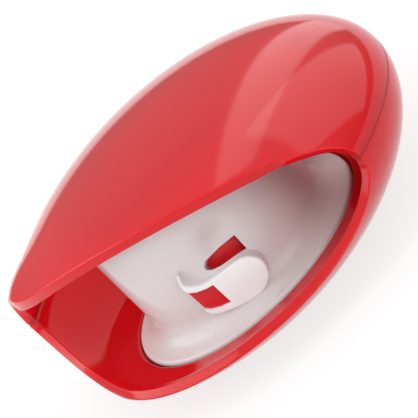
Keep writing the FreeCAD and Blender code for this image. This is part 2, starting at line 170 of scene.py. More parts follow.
def surface(name: str, rows: np.ndarray, closed: bool = False,
            poles: tuple[np.ndarray, ...] = ()) -> bpy.types.Object:
    """Makes a mesh object from rows of points that each run round a loop.

    Args:
        name: Name of the object.
        rows: Points as an array of rows, columns and three coordinates.
        closed: True if the last row joins the first.
        poles: One point before the first row and one after the last, which close the ends.

    Returns:
        The object, smooth shaded, with its faces outward.
    """
    count, width = rows.shape[:2]
    index = np.arange(count * width).reshape(count, width)
    following = np.roll(index, -1, axis=1)
    if closed:
        low, low_next, high, high_next = index, following, np.roll(index, -1, 0), np.roll(following, -1, 0)
    else:
        low, low_next, high, high_next = index[:-1], following[:-1], index[1:], following[1:]
    quads = np.stack([low, low_next, high_next, high], axis=-1).reshape(-1, 4)
    points = rows.reshape(-1, 3)
    faces = quads.tolist()
    triangles = np.concatenate([quads[:, [0, 1, 2]], quads[:, [0, 2, 3]]])
    if len(poles):
        first, last = len(points), len(points) + 1
        points = np.concatenate([points, np.asarray(poles, float)])
        start = np.stack([np.full(width, first), following[0], index[0]], axis=-1)
        finish = np.stack([np.full(width, last), index[-1], following[-1]], axis=-1)
        triangles = np.concatenate([triangles, start, finish])
        faces += start.tolist() + finish.tolist()
    a, b, c = (points[triangles[:, k]] for k in range(3))
    if np.einsum("ij,ij->i", a, np.cross(b, c)).sum() < 0:
        faces = [face[::-1] for face in faces]
    mesh = bpy.data.meshes.new(name)
    mesh.from_pydata(points.tolist(), [], faces)
    mesh.update()
    mesh.shade_smooth()
    mesh.set_sharp_from_angle(angle=SHARP_ANGLE)
    item = bpy.data.objects.new(name, mesh)
    bpy.context.scene.collection.objects.link(item)
    return item


def rounded(before: np.ndarray, corner: np.ndarray, after: np.ndarray,
            steps: int = OUTER_EDGE_ROWS) -> list[np.ndarray]:
    """Rows of a quadratic curve that rounds a corner between two rows.

    Args:
        before: Row where the curve starts.
        corner: Row that the curve bends towards.
        after: Row where the curve ends.
        steps: Number of rows.

    Returns:
        The rows from start to end.
    """
    shares = np.linspace(0, 1, steps)
    return [(1 - u) ** 2 * before + 2 * u * (1 - u) * corner + u * u * after for u in shares]


def toward(start: np.ndarray, end: np.ndarray, reach: float, most: float = 0.4) -> np.ndarray:
    """Row at a set distance from one row towards another.

    Args:
        start: Row to start from.
        end: Row to go towards.
        reach: Distance in metres.
        most: Largest share of the way.

    Returns:
        The row in between.
    """
    gap = end - start
    length = np.maximum(np.linalg.norm(gap, axis=-1, keepdims=True), LEAST_LENGTH)
    return start + gap / length * np.minimum(reach, most * length)


def between(start: np.ndarray, end: np.ndarray, count: int) -> list[np.ndarray]:
    """Rows evenly spaced between two rows, without the two.

    Args:
        start: First row.
        end: Last row.
        count: Number of rows.

    Returns:
        The rows between.
    """
    return [start + (end - start) * u for u in np.linspace(0, 1, count + 2)[1:-1]]


def carve(item: bpy.types.Object, tools: list[bpy.types.Object]) -> None:
    """Cuts tools out of an object for good and removes them.

    Args:
        item: The object that is cut.
        tools: Closed objects.
    """
    for tool in tools:
        step = item.modifiers.new("carve", "BOOLEAN")
        step.object = tool
        step.operation = "DIFFERENCE"
        step.solver = "EXACT"
    graph = bpy.context.evaluated_depsgraph_get()
    old = item.data
    item.data = bpy.data.meshes.new_from_object(item.evaluated_get(graph))
    item.modifiers.clear()
    bpy.data.meshes.remove(old)
    for tool in tools:
        bpy.data.objects.remove(tool)
    item.data.shade_smooth()
    item.data.set_sharp_from_angle(angle=SHARP_ANGLE)


def turned(name: str, centre: tuple[float, float], profile: np.ndarray,
           columns: int = 64) -> bpy.types.Object:
    """A body turned about an upright axis, whose profile starts and ends on the axis.

    Args:
        name: Name of the object.
        centre: X and Y of the axis.
        profile: Radius and height of each row; the first and last have no radius.
        columns: Number of points round.

    Returns:
        The closed object.
    """
    angle = np.linspace(0, 2 * math.pi, columns, endpoint=False)
    radius, height = profile[1:-1, :1], profile[1:-1, 1:]
    rows = np.stack([centre[0] + radius * np.cos(angle), centre[1] + radius * np.sin(angle),
                     np.broadcast_to(height, (len(height), columns))], axis=-1)
    ends = (np.array([*centre, profile[0, 1]]), np.array([*centre, profile[-1, 1]]))
    return surface(name, rows, poles=ends)


@dataclass(frozen=True)
class LipSwell:
    """A small swell of the shell at the left end of the lip, as a bell-shaped shift in one direction."""

    middle: tuple[float, float, float] = (-33.8 * MM, -12.0 * MM, 25.0 * MM)
    way: tuple[float, float, float] = (-0.627, -0.223, 0.746)
    width: float = 6.5 * MM
    height: float = 1.25 * MM

    def shift(self, points: np.ndarray) -> np.ndarray:
        """Swells points of the shell.

        Args:
            points: Points of the shell.

        Returns:
            The shifted points.
        """
        apart = points - np.array(self.middle)
        near = np.sum(apart ** 2, axis=-1, keepdims=True) / self.width ** 2
        return points + self.height * np.exp(-near) * np.array(self.way)


@dataclass
class UpperShell:
    """The dome with the upper lip of the mouth.

    Each column of the surface is a meridian of an outer half ellipsoid from the crown to the lip, over
    the rounded lip, and up the inner half ellipsoid to its crown. The lip's plan curve is a half ellipse
    in front; its ends go down to the seam on an ellipse in side view; the seam circle is at the back.
    """

    sizes: ShellSizes = SHELL
    swell: LipSwell = LipSwell()
    dome_rows: int = 90
    inner_rows: int = 40
    front_columns: int = 240
    climb_columns: int = 60
    back_columns: int = 130
    ease_rate: float = 2.5

    def half(self, side: float) -> tuple[np.ndarray, ...]:
        """Works out where the columns of one side end.

        Args:
            side: 1 for the right and -1 for the left.

        Returns:
            Outer azimuth, outer polar angle, inner azimuth and inner polar angle, from the lip's middle
            to the back.
        """
        s = self.sizes
        quarter = math.pi / 2
        lead = s.left_lead if side < 0 else 0.0
        along = np.linspace(0, quarter, self.front_columns)
        across = side * s.lip_half_width * np.sin(along)
        ahead = s.lip_centre + s.lip_reach * np.cos(along)
        x = across * math.cos(s.lip_turn) + ahead * math.sin(s.lip_turn)
        y = across * math.sin(s.lip_turn) - ahead * math.cos(s.lip_turn)
        x, y = x[y < -s.lip_end], y[y < -s.lip_end]
        rho = np.hypot(x, y)
        front = np.arctan2(x, -y)
        front_out, front_in = np.arcsin(rho / s.radius), np.arcsin(rho / s.inner_radius)
        climb_out = np.linspace(front_out[-1], quarter, self.climb_columns)[1:]
        bulge = np.sqrt(1 - (s.dome * np.cos(climb_out) / s.end_rise) ** 2)
        ahead = s.mouth_back + s.rim_sweep - s.rim_sweep * bulge + lead * bulge
        ahead = np.minimum(ahead, s.lip_end)
        climb = side * np.arccos(ahead / (s.radius * np.sin(climb_out)))
        edge = self.dome(climb, climb_out, s.radius, s.dome) - np.array([0, 0, s.seam_z])
        out = edge / np.array([s.radius, s.radius, s.dome]) ** 2
        edge_in = edge - out / np.linalg.norm(out, axis=-1, keepdims=True) * s.rim_wall
        turn_in = np.arctan2(edge_in[:, 0], -edge_in[:, 1])
        rho_in = np.hypot(edge_in[:, 0], edge_in[:, 1])
        tilt_in = np.arctan2(rho_in / s.inner_radius, edge_in[:, 2] / s.inner_dome)
        # The inner edge goes over from the lip's to the square face in the first part of the climb.
        ease = np.clip(np.linspace(0, self.ease_rate, len(climb)), 0, 1)
        turn_in = front[-1] + (turn_in - front[-1]) * ease
        tilt_in = front_in[-1] + (tilt_in - front_in[-1]) * ease
        back = np.linspace(climb[-1], side * math.pi, self.back_columns)[1:]
        back_in = np.linspace(turn_in[-1], side * math.pi, self.back_columns)[1:]
        level = np.full(len(back), quarter)
        return (np.concatenate([front, climb, back]), np.concatenate([front_out, climb_out, level]),
                np.concatenate([front, turn_in, back_in]), np.concatenate([front_in, tilt_in, level]))

    def columns(self) -> tuple[np.ndarray, ...]:
        """Works out where each column ends.

        Returns:
            Outer azimuth, outer polar angle, inner azimuth and inner polar angle of each column.
        """
        right, left = self.half(1.0), self.half(-1.0)
        return tuple(np.concatenate([one, other[-2:0:-1]]) for one, other in zip(right, left))

    def dome(self, azimuth: np.ndarray, polar: np.ndarray, radius: float, height: float) -> np.ndarray:
        """Points of a half ellipsoid on the seam.

        Args:
            azimuth: Angle from the mouth's middle.
            polar: Angle from the crown.
            radius: Radius at the seam.
            height: Height of the crown.

        Returns:
            One point for each column.
        """
        x, y = radius * np.sin(polar) * np.sin(azimuth), -radius * np.sin(polar) * np.cos(azimuth)
        return np.stack([x, y, self.sizes.seam_z + height * np.cos(polar)], axis=-1)

    def build(self) -> bpy.types.Object:
        """Builds the surface.

        Returns:
            The dome as one closed object.
        """
        s = self.sizes
        azimuth, polar, azimuth_in, polar_in = self.columns()
        stretch = np.hypot(s.radius * np.cos(polar), s.dome * np.sin(polar))
        polar_edge = polar - s.edge / stretch
        stretch_in = np.hypot(s.inner_radius * np.cos(polar_in), s.inner_dome * np.sin(polar_in))
        polar_in_edge = polar_in - s.inner_edge / stretch_in
        lip_out = self.dome(azimuth, polar, s.radius, s.dome)
        lip_in = self.dome(azimuth_in, polar_in, s.inner_radius, s.inner_dome)
        steps = np.linspace(0, 1, self.dome_rows + 1)[1:-1]
        rows = [self.dome(azimuth, polar_edge * f, s.radius, s.dome) for f in steps]
        under = toward(lip_out, lip_in, s.edge)
        over = toward(lip_in, lip_out, s.inner_edge)
        inside = self.dome(azimuth_in, polar_in_edge, s.inner_radius, s.inner_dome)
        rows += rounded(self.dome(azimuth, polar_edge, s.radius, s.dome), lip_out, under)
        rows += between(under, over, FACE_ROWS)
        rows += rounded(over, lip_in, inside, INNER_EDGE_ROWS)
        steps = np.linspace(1, 0, self.inner_rows + 1)[1:-1]
        rows += [self.dome(azimuth_in, polar_in_edge * f, s.inner_radius, s.inner_dome) for f in steps]
        crowns = (np.array([0, 0, s.seam_z + s.dome]), np.array([0, 0, s.seam_z + s.inner_dome]))
        item = surface("upper_shell_skin", self.swell.shift(np.array(rows)), poles=crowns)
        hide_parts("upper_shell")
        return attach(item, Body.SHELL.value)


@dataclass
class LowerShell:
    """The bowl with the lower rim of the mouth, the seat of the flange and the well of the dial.

    Each column runs down the outer half ellipsoid to the flat base, through the foot ring's groove and
    the dial's well, over the web and the flange's seat, up the inner half ellipsoid to the rim, and over
    the rounded rim back to the start. The rim is level in front and rises on a quarter ellipse in side
    view to the seam. Its face is square to the wall. base_round is an angle in radians along the bowl.
    """

    sizes: ShellSizes = SHELL
    swell: LipSwell = LipSwell()
    axis_y: float = SPOOL.axis_y
    outer_rows: int = 70
    deck_rows: int = 40
    seat_rows: int = 7
    level_columns: int = 90
    rise_columns: int = 120
    back_columns: int = 130
    base_round: float = 0.012
    seat_round_out: float = 0.5 * MM
    seat_round_down: float = 0.45 * MM
    tool_reach: float = 1.0

    def half(self, side: float) -> tuple[np.ndarray, np.ndarray, np.ndarray]:
        """Works out the rim's outer edge on one side.

        Args:
            side: 1 for the right and -1 for the left.

        Returns:
            Azimuth, radius and drop below the seam, from the mouth's middle to the back.
        """
        s = self.sizes
        lead = s.left_lead if side < 0 else 0.0
        turn = np.linspace(0, math.pi / 2, self.rise_columns)
        drop = np.concatenate([np.full(self.level_columns, s.rim_drop), s.rim_drop * np.cos(turn)])
        ahead = s.mouth_back + s.rim_sweep - (s.rim_sweep - lead) * np.sin(turn)
        rho = s.radius * np.sqrt(1 - (drop / s.bowl) ** 2)
        rise = np.arccos(np.clip(ahead / rho[self.level_columns:], -1, 1))
        level = np.linspace(0, rise[0], self.level_columns + 1)[:-1]
        back = np.linspace(rise[-1], math.pi, self.back_columns)[1:]
        return (side * np.concatenate([level, rise, back]),
                np.concatenate([rho, np.full(len(back), s.radius)]),
                np.concatenate([drop, np.zeros(len(back))]))

    def rim(self) -> tuple[np.ndarray, np.ndarray]:
        """Works out both edges of the rim.

        Returns:
            The outer and the inner edge, one point for each column.
        """
        s = self.sizes
        right, left = self.half(1.0), self.half(-1.0)
        azimuth, far, low = (np.concatenate([one, other[-2:0:-1]]) for one, other in zip(right, left))
        outer = np.stack([far * np.sin(azimuth), -far * np.cos(azimuth), -low], axis=-1)
        out = outer / np.array([s.radius, s.radius, s.bowl]) ** 2
        inner = outer - out / np.linalg.norm(out, axis=-1, keepdims=True) * s.rim_wall
        bowl = np.array([s.inner_radius, s.inner_radius, s.inner_bowl])
        inner /= np.linalg.norm(inner / bowl, axis=-1, keepdims=True)
        seam = np.array([0, 0, s.seam_z])
        return outer + seam, inner + seam

    def ring(self, angle: np.ndarray, radius: float, z: float, y: float = 0.0) -> np.ndarray:
        """Points of a level circle.

        Args:
            angle: Angle of each column from the mouth's middle.
            radius: Radius of the circle.
            z: Level of the circle.
            y: Place of its centre along Y.

        Returns:
            One point for each column.
        """
        x = radius * np.sin(angle)
        return np.stack([x, y - radius * np.cos(angle), np.full_like(x, z)], axis=-1)

    def on_bowl(self, plan: np.ndarray, soft: float = 0.7 * MM) -> np.ndarray:
        """Drops points onto the inner half ellipsoid and the deck, with a soft hollow between the two.

        Args:
            plan: Points whose X and Y are kept.
            soft: Width of the hollow.

        Returns:
            The points on the inside of the bowl.
        """
        s = self.sizes
        share = np.clip(1 - (plan[..., 0] ** 2 + plan[..., 1] ** 2) / s.inner_radius ** 2, 0, 1)
        gap = s.seam_z - s.inner_bowl * np.sqrt(share) - s.deck_z
        z = s.deck_z + 0.5 * (gap + np.hypot(gap, soft))
        return np.stack([plan[..., 0], plan[..., 1], z], axis=-1)

    def build(self) -> bpy.types.Object:
        """Builds the surface.

        Returns:
            The bowl as one closed object.
        """
        s = self.sizes
        outer, inner = self.rim()
        azimuth = np.arctan2(outer[:, 0], -outer[:, 1])
        angle = np.arctan2(inner[:, 0], self.axis_y - inner[:, 1])
        start = np.arcsin((s.seam_z - outer[:, 2]) / s.bowl)
        stop = math.asin((s.seam_z - s.base_z) / s.bowl)
        stretch = np.hypot(s.radius * np.sin(start), s.bowl * np.cos(start))
        first = start + s.edge / stretch
        rows = []
        for f in np.linspace(0, 1, self.outer_rows):
            deep = first + (stop - self.base_round - first) * f
            far = s.radius * np.cos(deep)
            level = s.seam_z - s.bowl * np.sin(deep)
            rows.append(np.stack([far * np.sin(azimuth), -far * np.cos(azimuth), level], -1))
        foot = s.radius * math.cos(stop)
        base_edge = self.ring(azimuth, foot, s.base_z)
        base_flat = self.ring(azimuth, foot - s.edge, s.base_z)
        rows += rounded(rows[-1], base_edge, base_flat, INNER_EDGE_ROWS)[1:]
        for radius, z in ((s.groove_outer, s.base_z), (s.groove_outer, s.groove_top),
                          (s.groove_inner, s.groove_top), (s.groove_inner, s.base_z)):
            rows.append(self.ring(azimuth, radius, z))
        for radius, z in ((s.well_radius + s.edge, s.base_z), (s.well_radius, s.base_z + s.edge),
                          (s.well_radius, s.web_bottom), (s.web_hole, s.web_bottom), (s.web_hole, s.web_top),
                          (s.tower_radius, s.web_top), (s.tower_radius, s.plate_top),
                          (s.deck_inner, s.plate_top), (s.deck_inner, s.seat_floor),
                          (s.seat_radius, s.seat_floor)):
            rows.append(self.ring(angle, radius, z, self.axis_y))
        ledge = self.on_bowl(self.ring(angle, s.seat_radius + self.seat_round_out, 0, self.axis_y))
        below = self.ring(angle, s.seat_radius, s.deck_z - self.seat_round_down, self.axis_y)
        corner = self.ring(angle, s.seat_radius, s.deck_z, self.axis_y)
        rows += rounded(below, corner, ledge, self.seat_rows)
        inside = self.on_bowl(toward(inner, ledge, s.inner_edge))
        rows += [self.on_bowl(row) for row in between(ledge, inside, self.deck_rows)]
        after = toward(inner, outer, s.inner_edge)
        before = toward(outer, inner, s.edge)
        rows += rounded(inside, inner, after, INNER_EDGE_ROWS)
        rows += between(after, before, FACE_ROWS)
        rows += rounded(before, outer, rows[0])[:-1]
        item = surface("lower_shell_skin", self.swell.shift(np.array(rows)), closed=True)
        tool = np.array([(0, -self.tool_reach), (s.screw_well, -self.tool_reach),
                         (s.screw_well, s.screw_seat), (0, s.screw_seat)])
        carve(item, [turned("well_tool", place, tool) for place in s.posts])
        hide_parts("lower_shell")
        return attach(item, Body.SHELL.value)


@dataclass
class ShellPosts:
    """The three screw posts between the shell halves.

    Each is a round tube with a solid top. Its lower end follows the inside of the bowl and its upper end
    the inside of the dome, both a little way into the wall. A fine groove marks the seam; its rows give
    the inset and the rise in millimetres.
    """

    sizes: ShellSizes = SHELL
    columns: int = 64
    bite: float = 0.5 * MM
    groove: tuple[tuple[float, float], ...] = ((0.0, -0.1), (0.12, 0.0), (0.0, 0.1))

    def ring(self, place: tuple[float, float], radius: float, z: float | None,
             height: float = 0.0) -> np.ndarray:
        """One row of a post.

        Args:
            place: X and Y of the post's axis.
            radius: Radius of the row.
            z: Level of the row, or None to follow the wall.
            height: Height of the wall's ellipsoid from the seam, less than zero for the bowl.

        Returns:
            The points of the row.
        """
        s = self.sizes
        angle = np.linspace(0, 2 * math.pi, self.columns, endpoint=False)
        x, y = place[0] + radius * np.cos(angle), place[1] + radius * np.sin(angle)
        wall = np.sqrt(np.clip(1 - (x ** 2 + y ** 2) / s.inner_radius ** 2, 0, 1))
        if z is None:
            level = s.seam_z + height * wall + math.copysign(self.bite, height)
        else:
            level = np.full_like(x, z)
        return np.stack([x, y, level], axis=-1)

    def build(self) -> list[bpy.types.Object]:
        """Builds the posts.

        Returns:
            One closed object for each post.
        """
        s = self.sizes
        made = []
        for number, place in enumerate(s.posts, start=1):
            rows = [self.ring(place, s.screw_well, s.screw_seat)]
            for radius in (s.screw_well, s.post_radius):
                rows.append(self.ring(place, radius, None, -s.inner_bowl))
            for inset, rise in self.groove:
                rows.append(self.ring(place, s.post_radius - inset * MM, s.seam_z + rise * MM))
            rows.append(self.ring(place, s.post_radius, None, s.inner_dome))
            ends = (np.array([*place, s.screw_seat]), rows[-1].mean(axis=0))
            item = surface("shell_post_%d" % number, np.array(rows), poles=ends)
            made.append(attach(item, Body.SHELL.value))
        return made


def bridge_frame() -> tuple[np.ndarray, np.ndarray, np.ndarray]:
    """Directions of the bridge's plane on the spool.

    Returns:
        The way along the plane, the way up and the way out.
    """
    turn = SPOOL.bridge_angle
    along = np.array([math.cos(turn), math.sin(turn), 0.0])
    out = np.array([math.sin(turn), -math.cos(turn), 0.0])
    return along, np.array([0.0, 0.0, 1.0]), out


def on_bridge(outline: np.ndarray, out: np.ndarray | float) -> np.ndarray:
    """Places outline points in space.

    Args:
        outline: Points along and above the seam, in metres.
        out: Distance of each point from the spool's axis along the bridge's way out.

    Returns:
        The points in the row frame.
    """
    along, up, away = bridge_frame()
    origin = np.array([0.0, SPOOL.axis_y, SHELL.seam_z])
    far = np.broadcast_to(np.asarray(out, float), outline.shape[:-1])
    return origin + outline[..., :1] * along + outline[..., 1:] * up + far[..., None] * away


def prism(name: str, outline: np.ndarray, near: float, far: float, fall: float = 0.0) -> bpy.types.Object:
    """A prism on the bridge's plane.

    Args:
        name: Name of the object.
        outline: Corner points along and above the seam.
        near: Distance of its inner face from the spool's axis.
        far: Distance of its outer face.
        fall: Slope by which it falls inward, with the outline true at SPOOL.window_true from the axis.

    Returns:
        The closed prism.
    """
    ends = [on_bridge(outline + np.array([0, fall * (out - SPOOL.window_true)]), out) for out in (near, far)]
    middles = (ends[0].mean(0), ends[1].mean(0))
    return surface(name, np.array(ends), poles=middles)


@dataclass
class SpoolCore:
    """The white core and flange.

    A closed profile turned about the spool's axis: flange with a rounded rim, a concave fillet of a
    quarter circle, the upright wall, and the bore. The wall's radius drops in a bell-shaped hollow.
    """

    sizes: SpoolSizes = SPOOL
    columns: int = 360
    rim_rows: int = 9
    fillet_rows: int = 22
    wall_rows: int = 90
    rim_round: float = 0.45 * MM
    top_round: float = 0.3 * MM
    top_middle: tuple[float, float] = (0.1 * MM, 0.08 * MM)

    def profile(self) -> tuple[np.ndarray, np.ndarray]:
        """The closed profile.

        Returns:
            Radius and height of each row.
        """
        s = self.sizes
        lip = self.rim_round
        arc = np.linspace(-math.pi / 2, math.pi / 2, self.rim_rows)
        middle = (s.flange_top + s.flange_bottom) / 2
        half = (s.flange_top - s.flange_bottom) / 2
        points = [(s.core_bore, s.flange_bottom), (0.5 * (s.core_bore + s.flange_radius), s.flange_bottom)]
        points += [(s.flange_radius - lip + lip * math.cos(a), middle + half * math.sin(a)) for a in arc]
        round_r, round_z = s.core_radius + s.core_fillet, s.flange_top + s.core_fillet
        for a in np.linspace(-math.pi / 2, -math.pi, self.fillet_rows):
            points.append((round_r + s.core_fillet * math.cos(a), round_z + s.core_fillet * math.sin(a)))
        wall = np.linspace(round_z, s.core_top - self.top_round, self.wall_rows)[1:]
        points += [(s.core_radius, z) for z in wall]
        inset, drop = self.top_middle
        points += [(s.core_radius - inset, s.core_top - drop), (s.core_radius - self.top_round, s.core_top),
                   (s.core_bore, s.core_top), (s.core_bore, 0.5 * (s.core_top + s.flange_bottom))]
        both = np.array(points)
        return both[:, 0], both[:, 1]

    def windows(self) -> list[bpy.types.Object]:
        """The two cord windows.

        Returns:
            Closed prisms to cut away.
        """
        s = self.sizes
        upper = prism("window_tool", UPPER_WINDOW, s.window_near, s.window_far, s.window_fall)
        return [upper, prism("window_tool", LOWER_WINDOW, s.window_near, s.window_far)]

    def build(self) -> bpy.types.Object:
        """Builds the surface.

        Returns:
            The core and flange as one closed object.
        """
        s = self.sizes
        radius, height = self.profile()
        angle = np.linspace(0, 2 * math.pi, self.columns, endpoint=False)
        side = (np.mod(angle - s.hollow_angle + math.pi, 2 * math.pi) - math.pi) * s.core_radius
        reach = (side[None, :] ** 2 + (height[:, None] - s.hollow_z) ** 2) / s.hollow_reach ** 2
        outside = (np.abs(radius - s.core_radius) < SAME_RADIUS)[:, None]
        far = radius[:, None] - outside * s.hollow_depth * np.exp(-reach)
        rows = np.stack([far * np.sin(angle), s.axis_y - far * np.cos(angle),
                         np.broadcast_to(height[:, None], far.shape)], axis=-1)
        item = surface("spool_core_skin", rows, closed=True)
        carve(item, self.windows())
        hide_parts("spool_core")
        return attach(item, Body.SPOOL.value)


def smooth_path(points: np.ndarray, share: np.ndarray) -> np.ndarray:
    """A smooth curve through points.

    Args:
        points: Points in order.
        share: Places along the curve, from 0 to 1 by point number.

    Returns:
        The curve's points, by cubic pieces that pass through the given points.
    """
    last = len(points) - 1
    place = np.clip(share, 0, 1) * last
    number = np.minimum(place.astype(int), last - 1)
    u = (place - number)[:, None]
    padded = np.concatenate([2 * points[:1] - points[1:2], points, 2 * points[-1:] - points[-2:-1]])
    a, b, c, d = (padded[number + k] for k in range(4))
    slope, bend, twist = c - a, 2 * a - 5 * b + 4 * c - d, 3 * b - a - 3 * c + d
    return 0.5 * (2 * b + slope * u + bend * u ** 2 + twist * u ** 3)


@dataclass
class CordBridge:
    """The cord bridge: a strip with a flat face, wide at its right lobe, round a bay on its left.

    The face is ruled between an outer curve and the bay's edge; its left tip curls up. From the outer curve
    the flank falls to the core on a concave flare, widest along the upper arm; the bay's sides are straight.
    Outlines are in millimetres along the core and above the seam. A flank row gives the depth below the face
    and the spread, also in millimetres; marks are shares of the way round the curve.
    """

    sizes: SpoolSizes = SPOOL
    outer: tuple[tuple[float, float], ...] = (
        (-4.8, 2.9), (-5.35, 0.75), (-3.9, -0.75), (-2.2, -1.35), (-0.1, -1.55), (2.1, -1.6), (3.9, -1.7),
        (5.2, -2.0), (6.2, -2.65), (7.05, -3.9), (7.2, -5.15), (6.8, -6.55), (6.0, -7.65), (4.65, -8.6),
        (3.2, -9.0), (1.3, -8.95), (-0.6, -8.6), (-2.6, -8.0), (-4.2, -7.3), (-5.4, -6.45), (-5.9, -5.6),
        (-5.9, -5.1))
    bay: tuple[tuple[float, float], ...] = (
        (-5.35, 2.6), (-5.9, 1.3), (-6.05, 0.0), (-5.7, -0.8), (-4.6, -1.6), (-2.9, -2.2), (-1.75, -2.4),
        (-1.6, -7.05), (-3.55, -6.55), (-5.05, -5.75), (-5.65, -5.05))
    bay_marks: tuple[float, ...] = (0.0, 0.02, 0.04, 0.06, 0.09, 0.14, 0.19, 0.80, 0.88, 0.94, 1.0)
    flare_marks: tuple[float, ...] = (0.0, 0.05, 0.10, 0.2, 0.28, 0.36, 0.45, 1.0)
    flare_shares: tuple[float, ...] = (0.3, 0.5, 1.0, 1.0, 0.6, 0.25, 0.1, 0.2)
    flank: tuple[tuple[float, float], ...] = (
        (0.8, 0.15), (1.3, 0.5), (1.8, 1.0), (2.3, 1.6), (2.8, 2.3), (3.4, 3.2), (5.0, 4.0))
    root: float = 5.0 * MM
    edge: float = 0.4 * MM
    edge_rows: int = 6
    bay_edge: float = 0.15 * MM
    bay_edge_most: float = 0.3
    face_rows: int = 7
    window_stop: float = 0.45 * MM
    steps: int = 240

    def build(self) -> bpy.types.Object:
        """Builds the surface.

        Returns:
            The bridge as one closed object.
        """
        s = self.sizes
        face = s.bridge_face
        share = np.linspace(0, 1, self.steps)
        outer = smooth_path(np.array(self.outer) * MM, share)
        corners = np.array(self.bay) * MM
        bay = np.stack([np.interp(share, self.bay_marks, corners[:, k]) for k in range(2)], axis=-1)
        tangent = np.gradient(outer, axis=0)
        away = np.stack([-tangent[:, 1], tangent[:, 0]], axis=-1)
        away /= np.linalg.norm(away, axis=-1, keepdims=True)
        flare = np.interp(share, self.flare_marks, self.flare_shares)[:, None]
        rows = [on_bridge(bay, face - self.root), on_bridge(bay, face - self.bay_edge)]
        width = np.linalg.norm(outer - bay, axis=-1)
        across = bay + (outer - bay) * np.minimum(self.bay_edge / width, self.bay_edge_most)[:, None]
        rim = outer - away * self.edge
        rows += [on_bridge(across + (rim - across) * f, face) for f in np.linspace(0, 1, self.face_rows)]
        for turn in np.linspace(0, math.pi / 2, self.edge_rows)[1:]:
            drop = self.edge * (1 - math.cos(turn))
            rows.append(on_bridge(rim + away * self.edge * math.sin(turn), face - drop))
        for deep, wide in self.flank:
            rows.append(on_bridge(outer + away * flare * wide * MM, face - deep * MM))
        loops = np.array(rows).transpose(1, 0, 2)
        item = surface("cord_bridge_skin", loops, poles=(loops[0].mean(0), loops[-1].mean(0)))
        stop = face - self.window_stop
        carve(item, [prism("window_tool", UPPER_WINDOW, s.window_near, stop, s.window_fall)])
        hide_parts("cord_bridge")
        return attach(item, Body.SPOOL.value)


@dataclass
class GripPad:
    """The grip pad, which fills the bay of the bridge: a straight prism.

    Its outline is in millimetres along the core and above the seam.
    """

    outline: tuple[tuple[float, float], ...] = (
        (-1.65, -2.5), (-1.5, -7.15), (-3.6, -6.65), (-5.1, -5.85), (-5.75, -5.1), (-6.0, -0.4),
        (-5.6, -0.9), (-4.5, -1.7), (-2.85, -2.3))
    back: float = 16.3 * MM
    sink: float = 0.9 * MM

    def build(self) -> bpy.types.Object:
        """Builds the pad.

        Returns:
            The pad as one closed object.
        """
        outline = np.array(self.outline) * MM
        item = prism("grip_pad_skin", outline, self.back, SPOOL.bridge_face - self.sink)
        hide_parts("grip_pad")
        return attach(item, Body.SPOOL.value)


def colour(red: int, green: int, blue: int) -> tuple[float, float, float, float]:
    """Turns screen values into linear light.

    Args:
        red: Red from 0 to 255.
        green: Green from 0 to 255.
        blue: Blue from 0 to 255.

    Returns:
        Linear red, green, blue and full cover.
    """
    values = [v / 255 for v in (red, green, blue)]
    return (*[v / 12.92 if v <= 0.04045 else ((v + 0.055) / 1.055) ** 2.4 for v in values], 1.0)


